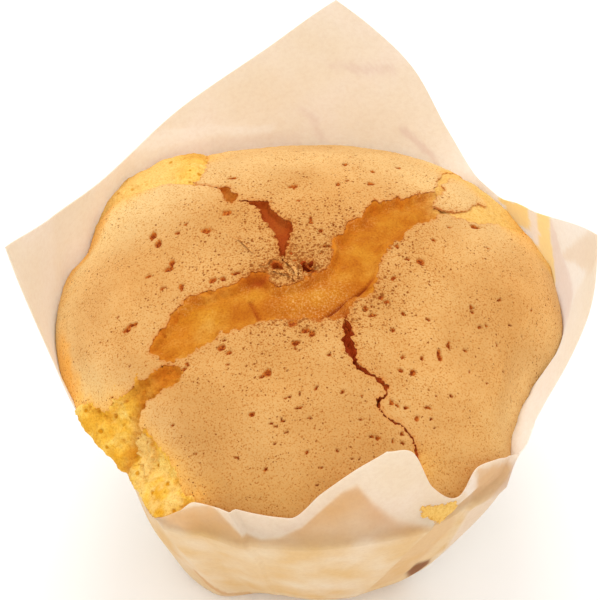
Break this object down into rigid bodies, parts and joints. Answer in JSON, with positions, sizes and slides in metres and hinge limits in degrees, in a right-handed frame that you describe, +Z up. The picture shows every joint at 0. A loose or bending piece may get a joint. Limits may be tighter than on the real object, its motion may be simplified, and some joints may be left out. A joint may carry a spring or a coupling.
{
  "type": "paper-wrapped sponge cupcake",
  "caption": "Domed sponge cake with a split, pitted crust, baked in a square sheet of parchment whose corners stand up round it.",
  "frame": {"origin": "centre of the flat base, where the paper rests on the table", "axes": "+Z up through the dome, front towards -Y, +X to the viewer's right"},
  "size_m": [0.0979, 0.0946, 0.078],
  "materials": {
    "sponge": "baked sponge with a matt golden crust",
    "parchment": "cream baking parchment, oil-stained where it touched the cake"
  },
  "bodies": {
    "root": {"sponge_cake": "sponge", "paper_case": "parchment"}
  },
  "joints": []
}
